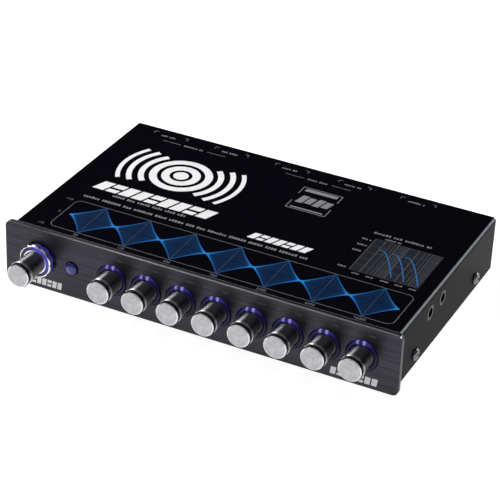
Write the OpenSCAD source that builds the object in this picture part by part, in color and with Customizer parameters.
// Seven-band graphic equalizer for a car dashboard: a shallow folded-steel case behind a
// wide front panel, with eight tone knobs, a two-part master control and a lit push button.
// Across is X, front to back is Y and up is Z. The origin is under the middle of the whole
// unit, level with the front panel's lower edge.

/* [Front panel] */
// Width of the front panel
panel_w = 178; // [176:0.5:184]
// Height of the front panel
panel_h = 27.6; // [27:0.2:32]
// Thickness of the front panel
panel_t = 2.6; // [2.2:0.1:3.4]
// Radius of the front panel's corners
panel_corner_r = 1.8; // [1:0.2:5]

/* [Case] */
// Width of the case across the cover's sides
case_w = 173.2; // [172:0.2:174]
// Depth of the case behind the front panel
case_d = 103; // [96:0.2:140]
// Height of the case
case_h = 24.9; // [24:0.1:25.2]
// How far the case sits to the right of the panel's centre
case_shift = 0.95; // [0.5:0.05:1.5]
// Thickness of the folded steel sheet
sheet_t = 1; // [0.8:0.1:1.2]
// Outer radius of the cover's bends
bend_r = 1.6; // [1.3:0.1:2.5]

/* [Knobs] */
// Radius of a knob
knob_r = 5.3; // [5.1:0.1:5.3]
// Radius of a knob where it meets the panel
knob_foot_r = 4.9; // [4.8:0.05:5]
// How far a tone knob stands out of the panel
knob_len = 11.6; // [10:0.2:16]
// How far the volume knob stands out of the panel
volume_len = 16.4; // [15:0.2:20]
// Distance from one tone knob to the next
knob_pitch = 15.9; // [15.6:0.1:16]
// Position of the first tone knob across the panel
first_knob_x = -38.4; // [-39:0.1:-38]
// Position of the volume knob across the panel
volume_x = -73; // [-74:0.1:-72.5]
// Position of the push button across the panel
button_x = -57.2; // [-58:0.1:-56.5]
// Height of the row of controls
control_z = 13.9; // [13.4:0.1:14.2]

/* [Sockets and mounting holes] */
// Distance from one phono jack to the next
jack_pitch = 15.05; // [15:0.05:15.1]
// Outer radius of a phono jack's shell
jack_r = 4.15; // [4.1:0.05:4.2]
// How far a phono jack stands out of the rear wall
jack_len = 9; // [8:0.5:12]
// Radius of a tapped mounting hole
mount_hole_r = 2.1; // [1.6:0.1:2.4]
// Distance between the two mounting holes on a side
mount_spacing = 13; // [12:0.5:20]

/* [Hidden] */
$fn = 48;
knob_count = 8;
jack_count = 10;
gap = 0.1;                          // play between the cover and the tray
running = 0.05;                     // radial play of a shaft in its bushing

// Across
case_x0 = case_shift - case_w / 2;
case_x1 = case_shift + case_w / 2;
tray_x0 = case_x0 + sheet_t + gap;
tray_x1 = case_x1 - sheet_t - gap;
first_jack_x = case_x0 + 9.75;
socket_x = case_x1 - 11.5;
board_x0 = case_x0 + 4;
board_w = case_w - 8;
control_board_x0 = volume_x + 7;
control_board_w = 150;
header_x = 20;

// Up
case_z = panel_h - 0.05 - case_h;   // underside of the case
floor_z = case_z + sheet_t;
roof_z = case_z + case_h - sheet_t;
board_z = floor_z + 5.4;
board_t = 1.6;
deck_z = board_z + board_t;         // top of the main board
jack_z = deck_z + 5.2;
socket_z = deck_z + 5;
selector_z = roof_z - 2.9;
screw_z = case_z + 5.4;
mount_z = case_z + 17.2;

// Front to back, measured from the panel's front face
wall_y = panel_t + sheet_t;         // back of the tray's front wall
rear_y = panel_t + case_d;          // outside of the tray's rear wall
rear_in_y = rear_y - sheet_t;
can_d = 6.6;
control_board_y = wall_y + can_d + 0.2;
main_board_y = control_board_y + 7.8;
main_board_d = rear_in_y - main_board_y - 3;
mount_y = panel_t + 37.4;           // midway between the two mounting holes
screw_ys = [panel_t + 17.4, panel_t + 83.4];
overall_d = volume_len + rear_y + jack_len;
front_y = volume_len - overall_d / 2;

// Controls
window_r = 6.9;                     // panel hole round a tone knob
ring_r = 6.8;
ring_inner_r = knob_foot_r + 0.3;
ring_proud = 0.6;
bushing_r = 3.5;
bushing_reach = 1.9;                // bushing in front of the panel
shaft_r = 3;
inner_shaft_r = 1.75;
fader_r = 7.5;
fader_reach = 3.4;
fader_back = 0.5;
button_r = 2.6;
button_proud = 1.4;
plunger_r = 1.6;
lamp_up = 7.2;                      // lamp's height above its knob's axis
cap_t = 1.3;
neck_t = 1;
band_t = 1;
can_w = 9.5;
can_h = 11;
dual_w = 11;
dual_h = 12.5;
dual_d = 13;

TONE = [for (i = [1:knob_count]) i];

// ---------------------------------------------------------------- helpers

// Stands the model's panel-based coordinates over the origin.
module place() {
    translate([0, front_y, 0]) children();
}

// Puts a control's own parts on its axis.
module at_control(x) {
    translate([x, 0, control_z]) children();
}

function knob_x(i) = first_knob_x + (i - 1) * knob_pitch;

// A rod that runs towards the back from y.
module rod(r, y, len) {
    translate([0, y, 0]) rotate([-90, 0, 0]) cylinder(h = len, r = r);
}

// A turned part: points are [radius, distance behind y].
module turned(y, points) {
    translate([0, y, 0]) rotate([-90, 0, 0]) rotate_extrude($fn = 64) polygon(points);
}

// A block centred across and up, from y towards the back.
module block(w, len, h, y) {
    translate([-w / 2, y, -h / 2]) cube([w, len, h]);
}

module rounded_rectangle(w, h, r) {
    translate([-w / 2 + r, -h / 2]) square([w - 2 * r, h]);
    translate([-w / 2, -h / 2 + r]) square([w, h - 2 * r]);
    for (x = [-1, 1], z = [-1, 1])
        translate([x * (w / 2 - r), z * (h / 2 - r)]) circle(r);
}

// ---------------------------------------------------------------- casing

module faceplate() color("#2b2a30") difference() {
    translate([0, panel_t, panel_h / 2]) rotate([90, 0, 0])
        linear_extrude(panel_t) rounded_rectangle(panel_w, panel_h, panel_corner_r);
    for (i = TONE) at_control(knob_x(i)) rod(window_r, -1, panel_t + 2);
    at_control(volume_x) rod(6, -1, panel_t + 2);
    at_control(button_x) rod(button_r + 0.35, -1, panel_t + 2);
}

// Floor, front wall and rear wall in one fold, with low flanges that the cover's screws bite.
module chassis_tray() color("#1c1c20") difference() {
    union() {
        translate([tray_x0, panel_t, case_z]) cube([tray_x1 - tray_x0, case_d, sheet_t]);
        for (y = [panel_t, rear_in_y])
            translate([tray_x0, y, case_z])
                cube([tray_x1 - tray_x0, sheet_t, case_h - sheet_t - gap]);
        for (x = [tray_x0, tray_x1 - sheet_t])
            translate([x, panel_t, case_z]) cube([sheet_t, case_d, 8.5]);
    }
    for (i = TONE) at_control(knob_x(i)) {
        rod(bushing_r + 0.1, 0, wall_y + 1);
        translate([0, 0, lamp_up]) rod(1.6, 0, wall_y + 1);
    }
    at_control(volume_x) rod(bushing_r + 0.1, 0, wall_y + 1);
    at_control(button_x) rod(plunger_r + 0.4, 0, wall_y + 1);
    for (i = [0:jack_count - 1]) at_jack(i) rod(5.3, rear_in_y - 1, 4);
    translate([socket_x, 0, socket_z]) block(13.2, 4, 10, rear_in_y - 1);
    translate([socket_x, 0, selector_z]) block(8, 4, 3.4, rear_in_y - 1);
    for (side = [0, 1], y = screw_ys) at_side(side, y, screw_z)
        translate([0, 0, -4]) cylinder(h = 5, r = 1.5);
}

// The folded top and sides.
module top_cover() color("#0d0c12") difference() {
    translate([case_shift, rear_y, 0]) rotate([90, 0, 0]) linear_extrude(case_d)
        difference() {
            bent_outline(case_w, case_z + case_h, case_z + 0.3, bend_r);
            bent_outline(case_w - 2 * sheet_t, roof_z, case_z - 1, bend_r - sheet_t);
        }
    for (side = [0, 1]) {
        for (y = screw_ys) at_side(side, y, screw_z) translate([0, 0, -2]) cylinder(h = 4, r = 1.6);
        for (y = mount_ys()) at_side(side, y, mount_z)
            translate([0, 0, -2]) cylinder(h = 4, r = mount_hole_r + 1.1);
    }
}

// A rectangle from bottom to top whose upper corners are round.
module bent_outline(w, top, bottom, r) {
    translate([-w / 2, bottom]) square([w, top - r - bottom]);
    translate([-w / 2 + r, bottom]) square([w - 2 * r, top - bottom]);
    for (x = [-1, 1]) translate([x * (w / 2 - r), top - r]) circle(r);
}

function mount_ys() = [mount_y - mount_spacing / 2, mount_y + mount_spacing / 2];

// Puts a part on the left (0) or right (1) side of the case, its +Z pointing outwards.
module at_side(side, y, z) {
    translate([side == 0 ? case_x0 : case_x1, y, z])
        rotate([0, side == 0 ? -90 : 90, 0]) children();
}

// Pan-head screws through the cover into the tray's flanges.
module cover_screws() color("#15151a")
    for (side = [0, 1], y = screw_ys) at_side(side, y, screw_z) difference() {
        rotate_extrude() polygon([
            [0, -3.5], [1.5, -3.5], [1.5, 0], [2.6, 0], [2.6, 0.5],
            for (a = [15:15:90]) [2.6 * cos(a), 0.5 + 0.9 * sin(a)]
        ]);
        for (turn = [0, 90]) rotate([0, 0, turn]) translate([-1.3, -0.25, 0.7]) cube([2.6, 0.5, 1]);
    }

// Threaded inserts pressed into the cover's sides, for the mounting brackets' screws.
module mount_nuts() color("#9aa0a8")
    for (side = [0, 1], y = mount_ys()) at_side(side, y, mount_z)
        rotate_extrude() polygon([
            [mount_hole_r, 0], [mount_hole_r + 1.1, 0], [mount_hole_r + 1.1, -sheet_t],
            [mount_hole_r + 2.1, -sheet_t], [mount_hole_r + 2.1, -sheet_t - 2],
            [mount_hole_r, -sheet_t - 2]
        ]);

// ---------------------------------------------------------------- tone controls

// Tapered black barrel with a foot ring, a neck behind its cap, a seat for the band and a shaft socket.
// rear is where the barrel ends and clear_from is where its wider rear hollow starts.
module barrel(len, rear, bore_r, hollow_r, clear_from) {
    neck_s = cap_t + neck_t;
    turned(-len, [
        [2, cap_t], [knob_r - 0.7, cap_t], [knob_r - 0.7, neck_s],
        [knob_r - 0.4, neck_s], [knob_r - 0.4, neck_s + band_t],
        [knob_r - 0.1, neck_s + band_t], [knob_foot_r - 0.2, rear - 0.6],
        [knob_foot_r, rear - 0.6], [knob_foot_r, rear],
        [hollow_r, rear], [hollow_r, clear_from], [bore_r, clear_from],
        [bore_r, neck_s + band_t], [0, neck_s + band_t], [0, cap_t + 1.2], [2, cap_t + 1.2]
    ]);
}

// Spun cap with a spigot, and the bright band behind the neck.
module cap_and_band(len) {
    turned(-len, [
        [0, 0], [knob_r - 0.4, 0], [knob_r, 0.4], [knob_r, cap_t],
        [2, cap_t], [2, cap_t + 1.2], [0, cap_t + 1.2]
    ]);
    turned(-len + cap_t + neck_t, [
        [knob_r - 0.4, 0], [knob_r, 0], [knob_r, band_t], [knob_r - 0.4, band_t]
    ]);
}

module knob_body() color("#101014")
    barrel(knob_len, knob_len + 0.2, shaft_r, 4.1, knob_len - bushing_reach - 0.7);

module knob_cap() color("#c6c8ce") cap_and_band(knob_len);

// Shaft with the wiper disc that turns inside the pot.
module pot_shaft() color("#b9bcc2") {
    front = knob_len - cap_t - neck_t - band_t;
    turned(-front, [
        [0, 0], [shaft_r - 0.3, 0], [shaft_r, 0.3], [shaft_r, front + wall_y + 1.7],
        [4, front + wall_y + 1.7], [4, front + wall_y + 2.7],
        [1.5, front + wall_y + 2.7], [1.5, front + wall_y + 4.6], [0, front + wall_y + 4.6]
    ]);
}

// Pot cans behind the tray's front wall, each with its bushing and three solder pins.
module tone_pots() color("#5d6068")
    for (i = TONE) at_control(knob_x(i)) {
        difference() {
            union() {
                block(can_w, can_d, can_h, wall_y);
                rod(bushing_r, -bushing_reach, wall_y + bushing_reach + 0.1);
            }
            rod(shaft_r + running, -bushing_reach - 1, wall_y + bushing_reach + 3);
            rod(4.4, wall_y + 1.4, 3.9);
        }
        for (x = [-2.5, 0, 2.5]) translate([x, 0, -4]) rod(0.4, wall_y + can_d, 2.6);
    }

// Hexagon nuts that hold the pots' bushings to the tray.
module pot_nuts() color("#aeb2b8")
    for (x = [for (i = TONE) knob_x(i), volume_x]) at_control(x) difference() {
        translate([0, panel_t - 1.6, 0]) rotate([-90, 0, 0]) cylinder(h = 1.6, r = 5.1, $fn = 6);
        rod(bushing_r, 0, panel_t + 1);
    }

// Clear rings in the panel's windows, lit from behind.
module light_rings() color("#3c50ff")
    for (i = TONE) at_control(knob_x(i)) turned(-ring_proud, [
        [ring_inner_r, 0.3], [ring_inner_r + 0.3, 0], [ring_r - 0.4, 0],
        [ring_r, 0.4], [ring_r, ring_proud + panel_t - 0.1],
        [ring_inner_r, ring_proud + panel_t - 0.1]
    ]);

// Blue lamps on the control board that shine through the tray into the rings.
module ring_lamps() color("#5566ff")
    for (i = TONE) at_control(knob_x(i)) translate([0, 0, lamp_up])
        turned(panel_t + 0.1, [
            [0, 0], [0.9, 0.25], [1.5, 1.1], [1.5, control_board_y - panel_t - 0.1],
            [0, control_board_y - panel_t - 0.1]
        ]);

// ---------------------------------------------------------------- master control

module volume_knob() color("#101014")
    at_control(volume_x)
        barrel(volume_len, volume_len - fader_reach - 0.3, inner_shaft_r, 2.6,
               volume_len - fader_reach - 1.3);

module volume_cap() color("#c6c8ce") at_control(volume_x) cap_and_band(volume_len);

// Inner shaft with the wiper disc of the rear pot.
module volume_shaft() color("#b9bcc2") at_control(volume_x) {
    front = volume_len - cap_t - neck_t - band_t;
    disc = front + wall_y + 7;
    turned(-front, [
        [0, 0], [inner_shaft_r - 0.3, 0], [inner_shaft_r, 0.3], [inner_shaft_r, disc],
        [4.2, disc], [4.2, disc + 1], [1.2, disc + 1], [1.2, disc + 3.5], [0, disc + 3.5]
    ]);
}

// Lobed outer ring, open behind to clear the bushing's nut.
module fader_ring() color("#d4d6dc") at_control(volume_x) difference() {
    turned(-fader_reach, [
        [shaft_r, 0], [5.4, 0], [5.4, 0.6], [6.8, 0.6], [6.8, 0.1], [7, 0.1],
        [fader_r - 0.15, 0.5], [fader_r, 1], [fader_r, fader_reach - fader_back],
        [6.4, fader_reach - fader_back], [6.4, 1.2], [shaft_r, 1.2]
    ]);
    for (a = [0:36:324]) rotate([0, a, 0]) translate([fader_r + 1, 0, 0])
        rod(1.45, -fader_reach + 1, fader_reach);
}

// Clear insert in the front of the outer ring.
module fader_insert() color("#3c50ff") at_control(volume_x)
    turned(-fader_reach, [[5.45, 0], [6.75, 0], [6.75, 0.6], [5.45, 0.6]]);

// Tubular outer shaft with the wiper disc of the front pot.
module fader_shaft() color("#a7abb2") at_control(volume_x) {
    bore_r = inner_shaft_r + running;
    disc = fader_reach + wall_y + 1.5;
    turned(-fader_reach, [
        [bore_r, 0], [shaft_r, 0], [shaft_r, disc], [4.2, disc], [4.2, disc + 1],
        [shaft_r, disc + 1], [shaft_r, disc + 2], [bore_r, disc + 2]
    ]);
}

// Two pots in one can on the master control's two shafts.
module master_pot() color("#5d6068") at_control(volume_x) {
    difference() {
        union() {
            block(dual_w, dual_d, dual_h, wall_y);
            rod(bushing_r, -bushing_reach, wall_y + bushing_reach + 0.1);
        }
        rod(shaft_r + running, -bushing_reach - 1, wall_y + bushing_reach + 3);
        rod(4.6, wall_y + 1.1, 3.9);
        rod(inner_shaft_r + running, wall_y, 9);
        rod(4.6, wall_y + 6.5, 4.8);
    }
    for (x = [-4:1.6:4]) translate([x, 0, deck_z - control_z + 0.4])
        rod(0.4, wall_y + dual_d, main_board_y - wall_y - dual_d + 2);
}

// ---------------------------------------------------------------- push button

// Domed cap on a plunger whose collar the spring pushes forward.
module button_cap() color("#2a34b8") at_control(button_x) {
    collar = button_proud + wall_y + 2.5;
    turned(-button_proud, [
        [0, 0], for (a = [60:-15:0]) [button_r * cos(a), 1 - sin(a)],
        [button_r, button_proud + 0.9], [plunger_r, button_proud + 0.9],
        [plunger_r, collar], [2.4, collar], [2.4, collar + 0.8],
        [1, collar + 0.8], [1, collar + 1.6], [0, collar + 1.6]
    ]);
}

module button_switch() color("#2e2e33") at_control(button_x) difference() {
    block(7.4, control_board_y - wall_y - 1, 7.4, wall_y + 1);
    rod(plunger_r + running, wall_y, 3);
    rod(2.9, wall_y + 2, 4);
}

// A point on the spring's helix: t runs from 0 to 1.
function coil_point(t, r, turns, y0, y1) =
    [r * cos(360 * turns * t), y0 + (y1 - y0) * t, r * sin(360 * turns * t)];

// Return spring between the plunger's collar and the switch's back wall.
module button_spring() color("#c9ccd2") at_control(button_x) {
    steps = 48;
    sides = 6;
    wire_r = 0.18;
    y0 = wall_y + 2.5 + 0.8 + wire_r + 0.05;
    y1 = wall_y + 6 - wire_r - 0.05;
    rings = [for (k = [0:steps]) let (
        t = k / steps,
        c = coil_point(t, 1.75, 4, y0, y1),
        out = [cos(1440 * t), 0, sin(1440 * t)]
    ) for (s = [0:sides - 1]) let (a = 360 * s / sides)
        c + wire_r * (cos(a) * out + sin(a) * [0, 1, 0])];
    polyhedron(points = rings, faces = concat(
        [[for (s = [0:sides - 1]) s]],
        [for (k = [0:steps - 1], s = [0:sides - 1]) [
            k * sides + s, (k + 1) * sides + s,
            (k + 1) * sides + (s + 1) % sides, k * sides + (s + 1) % sides
        ]],
        [[for (s = [sides - 1:-1:0]) steps * sides + s]]
    ));
}

// ---------------------------------------------------------------- boards

standoff_places = [
    for (x = [board_x0 + 5, board_x0 + board_w - 5],
         y = [main_board_y + 6, main_board_y + main_board_d - 18]) [x, y]
];

module main_board() color("#1d5a3a") difference() {
    translate([board_x0, main_board_y, board_z]) cube([board_w, main_board_d, board_t]);
    for (p = standoff_places) translate([p[0], p[1], board_z - 1]) cylinder(h = 4, r = 1.5);
}

module control_board() color("#1d5a3a") difference() {
    translate([control_board_x0, control_board_y, floor_z + 1])
        cube([control_board_w, board_t, roof_z - floor_z - 2]);
    for (i = TONE, x = [-2.5, 0, 2.5]) at_control(knob_x(i)) translate([x, 0, -4])
        rod(0.5, control_board_y - 1, board_t + 2);
}

// Right-angle connector from the control board down to the main board.
module board_header() color("#e6e2d6")
    translate([header_x, control_board_y + board_t, 0]) {
        translate([-20, 0, deck_z]) cube([40, 10, 3.2]);
        for (k = [0:14]) translate([-17.8 + 2.54 * k, 0.5, deck_z + 3.2])
            cube([0.6, 7, 0.6]);
    }

module board_standoffs() color("#b4b7bd")
    for (p = standoff_places) translate([p[0], p[1], floor_z]) difference() {
        cylinder(h = board_z - floor_z, r = 3, $fn = 6);
        translate([0, 0, -1]) cylinder(h = board_z - floor_z + 2, r = 1.3);
    }

module board_screws() color("#c9ccd2")
    for (p = standoff_places) translate([p[0], p[1], deck_z]) difference() {
        union() {
            cylinder(h = 1.6, r = 2.6);
            translate([0, 0, -4.5]) cylinder(h = 4.6, r = 1.25);
        }
        for (turn = [0, 90]) rotate([0, 0, turn]) translate([-1.4, -0.25, 0.7])
            cube([2.8, 0.5, 1]);
    }

// Eight-pin amplifier chips, two for each band.
module op_amps() color("#202024")
    for (i = [0:6], row = [0, 1])
        translate([board_x0 + 24 + 17.5 * i, main_board_y + 14 + 14 * row, deck_z]) {
            translate([-4.8, -3.2, 0.5]) cube([9.6, 6.4, 3.2]);
            for (k = [0:3], y = [-3.8, 3.2]) translate([-4.1 + 2.54 * k, y, 0])
                cube([0.6, 0.6, 2.4]);
        }

// A capacitor's upright can, with a rolled rim and a groove near its foot.
module capacitor_can(r, h) {
    rotate_extrude() polygon([
        [0, 0], [r, 0], [r, 1], [r - 0.3, 1.3], [r - 0.3, 1.6], [r, 1.9],
        [r, h - 0.4], [r - 0.4, h], [r - 0.6, h], [r - 0.6, h - 0.3], [0, h - 0.3]
    ]);
}

// Film capacitors beside the chips, and a row of electrolytic ones, every third one large.
module capacitors() color("#26305c") {
    for (i = [0:6], row = [0, 1])
        translate([board_x0 + 30 + 17.5 * i, main_board_y + 20.5 + 14 * row, deck_z])
            translate([-3.6, -1.2, 0]) cube([7.2, 2.4, 6]);
    for (i = [0:9])
        translate([board_x0 + 16 + 13 * i, main_board_y + 45, deck_z])
            capacitor_can(i % 3 == 0 ? 4 : 2.5, i % 3 == 0 ? 11 : 8);
}

// Ring core that filters the supply.
module supply_choke() color("#5a3a22")
    translate([board_x0 + board_w - 14, main_board_y + 40, deck_z + 4.2]) rotate_extrude()
        translate([5.2, 0]) circle(2.6);

// Upright regulator with its metal tab.
module voltage_regulator() color("#33343a")
    translate([board_x0 + board_w - 20, main_board_y + 26, deck_z]) {
        translate([-5, 0, 3]) cube([10, 4.4, 8]);
        translate([-5, 4.4, 3]) cube([10, 1.2, 11]);
        for (x = [-2.9, -0.35, 2.2]) translate([x, 2, 0]) cube([0.7, 0.5, 3]);
    }

// ---------------------------------------------------------------- rear sockets

module at_jack(i) {
    translate([first_jack_x + i * jack_pitch, 0, jack_z]) children();
}

// One moulded block for each pair of phono jacks, with a collar for each jack.
module phono_blocks() color("#18181b") {
    for (i = [0:2:jack_count - 1]) at_jack(i)
        translate([jack_pitch / 2, 0, 0.1]) block(29, 11, 10.6, rear_in_y - 11);
    for (i = [0:jack_count - 1]) at_jack(i) rod(5.2, rear_in_y, sheet_t + 1);
}

module phono_shells() color("#d9dbe0")
    for (i = [0:jack_count - 1]) at_jack(i) turned(rear_y + 1, [
        [3.75, 0], [jack_r, 0], [jack_r, jack_len - 1.3],
        [jack_r - 0.3, jack_len - 1], [3.75, jack_len - 1]
    ]);

// Insulating cores with the hole that takes a plug's pin.
module phono_core() {
    turned(rear_y + 1, [
        [0, 0], [3.7, 0], [3.7, jack_len - 1.6], [2.4, jack_len - 1.6],
        [2.4, jack_len - 1.2], [1.6, jack_len - 1.2], [1.6, 0.6], [0, 0.6]
    ]);
}

module phono_cores_white() color("#e9e9ea")
    for (i = [0:2:jack_count - 1]) at_jack(i) phono_core();

module phono_cores_red() color("#b5202a")
    for (i = [1:2:jack_count - 1]) at_jack(i) phono_core();

module power_socket() color("#dcd8cc") translate([socket_x, 0, socket_z]) difference() {
    block(13, 13, 9.8, rear_y - 13);
    block(10.4, 11, 7.4, rear_y - 10);
}

module power_pins() color("#c9a24a") translate([socket_x, 0, socket_z])
    for (x = [-3.15, -1.05, 1.05, 3.15], z = [-1.9, 1.9]) translate([x, 0, z])
        block(0.9, 4.6, 0.9, rear_y - 10);

// Slide switch for the subwoofer crossover, behind the slot over the power socket.
module selector_body() color("#3a3c42") translate([socket_x, 0, selector_z]) difference() {
    block(12.6, 4.6, 5, rear_in_y - 4.6);
    block(9.2, 2.5, 4.2, rear_in_y - 3);
    block(7.6, 1, 3.2, rear_in_y - 0.6);
}

module selector_slider() color("#e8e8ea") translate([socket_x, 0, selector_z]) {
    block(4.4, 1.7, 3.6, rear_in_y - 2.6);
    block(2.2, 3.8, 2.6, rear_in_y - 1);
}

// ---------------------------------------------------------------- nodes

place() faceplate();
place() chassis_tray();
place() top_cover();
place() cover_screws();
place() mount_nuts();
for (i = TONE) {
    place() at_control(knob_x(i)) knob_body();
    place() at_control(knob_x(i)) knob_cap();
    place() at_control(knob_x(i)) pot_shaft();
}
place() light_rings();
place() ring_lamps();
place() tone_pots();
place() pot_nuts();
place() volume_knob();
place() volume_cap();
place() volume_shaft();
place() fader_ring();
place() fader_insert();
place() fader_shaft();
place() master_pot();
place() button_cap();
place() button_switch();
place() button_spring();
place() main_board();
place() control_board();
place() board_header();
place() board_standoffs();
place() board_screws();
place() op_amps();
place() capacitors();
place() supply_choke();
place() voltage_regulator();
place() phono_blocks();
place() phono_shells();
place() phono_cores_white();
place() phono_cores_red();
place() power_socket();
place() power_pins();
place() selector_body();
place() selector_slider();
